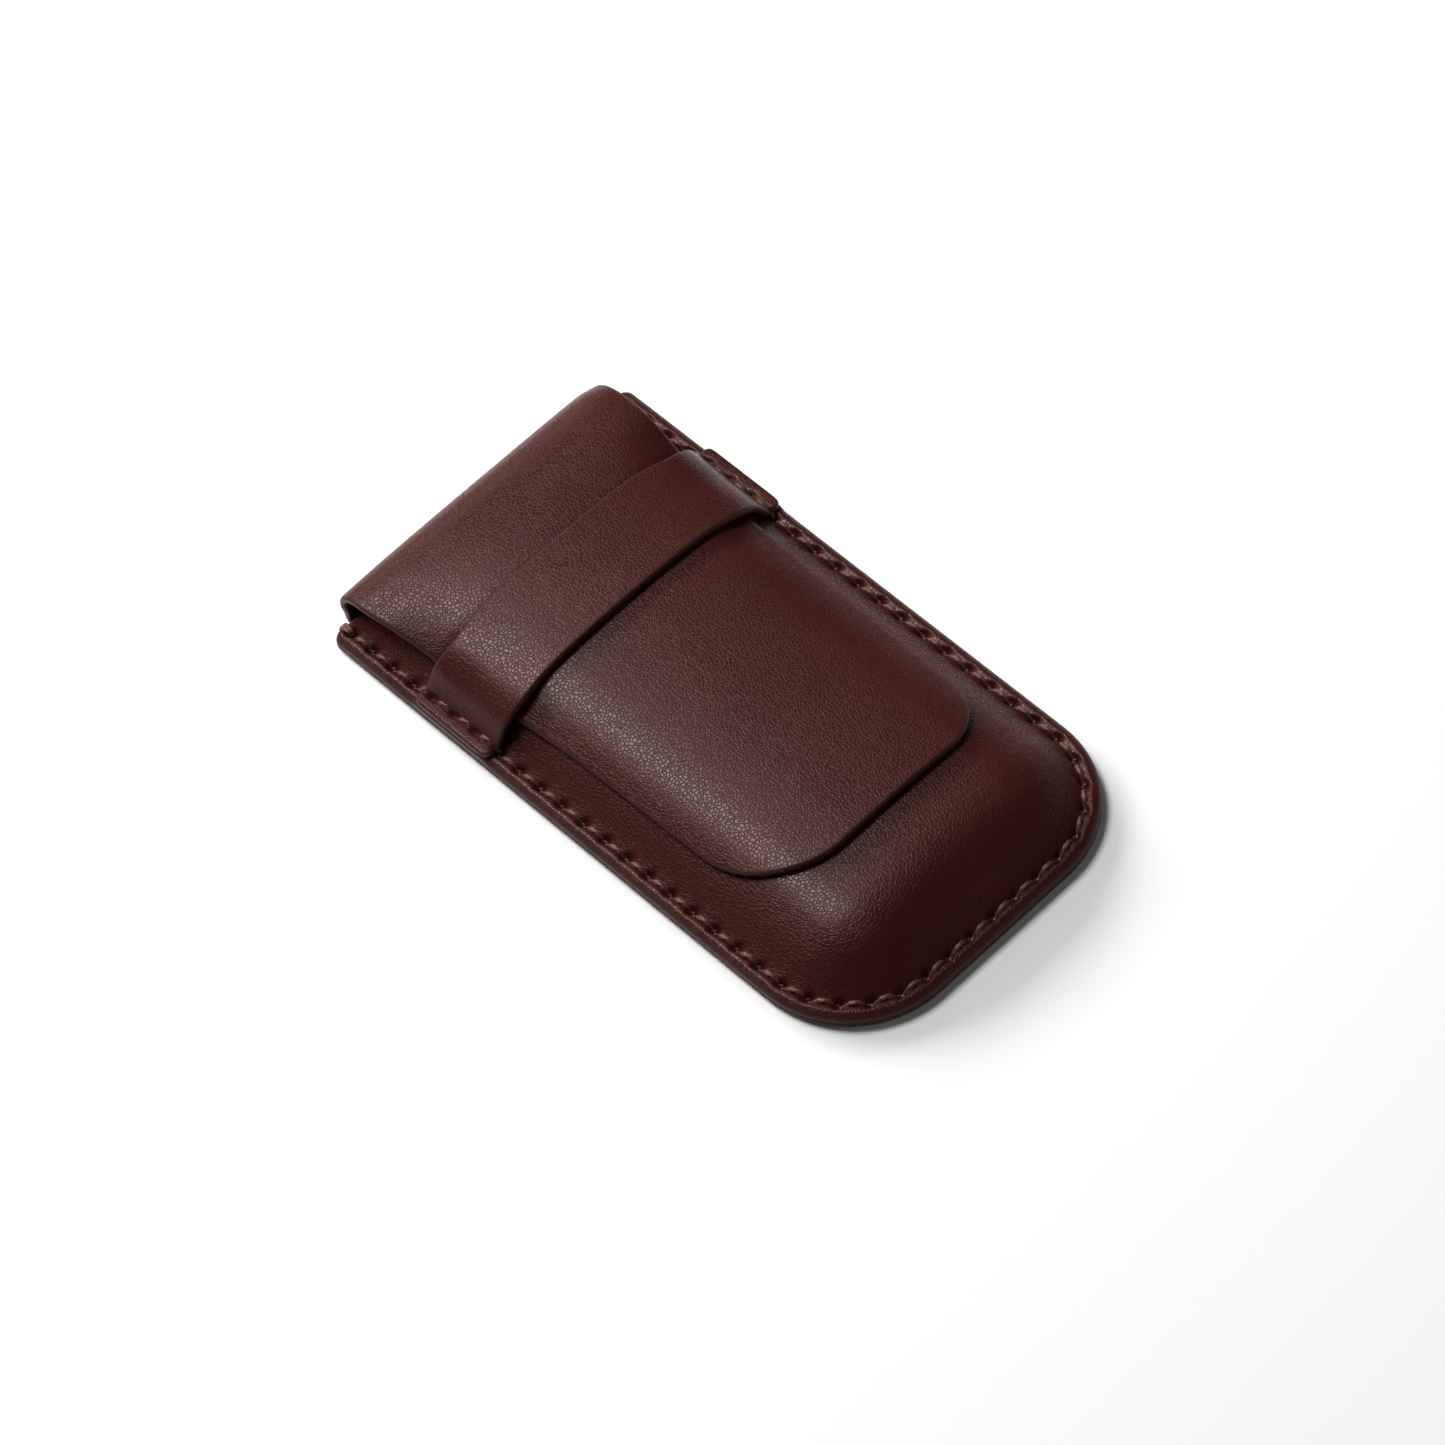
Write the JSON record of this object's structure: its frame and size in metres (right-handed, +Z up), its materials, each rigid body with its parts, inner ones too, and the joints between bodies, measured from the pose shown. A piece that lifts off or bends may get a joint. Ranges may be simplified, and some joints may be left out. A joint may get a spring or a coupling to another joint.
{
  "type": "business card case",
  "caption": "Slim leather case for business cards: moulded pocket stitched to a back panel, with a flap that tucks under a sewn keeper strap.",
  "frame": {"origin": "under the middle of the case, on the surface that its back lies on", "axes": "+Z up out of the front, +Y along the case towards the fold of the flap, +X across it"},
  "size_m": [0.072, 0.13, 0.0152],
  "materials": {
    "leather": "fine-grained burgundy brown leather, satin",
    "thread": "waxed brown thread"
  },
  "bodies": {
    "case": {"back_panel": "leather", "front_pocket": "leather", "keeper_strap": "leather", "flap_fold": "leather", "front_stitches": "thread", "back_stitches": "thread"},
    "flap": {"flap_panel": "leather", "flap_tongue": "leather"}
  },
  "joints": [
    {"name": "flap_open", "type": "hinge", "parent": "case", "child": "flap", "pos_m": [0, 0.069, 0.0065], "axis": [-1, 0, 0], "range_deg": [0, 165], "deforming": ["flap_fold", "flap_tongue"]}
  ]
}
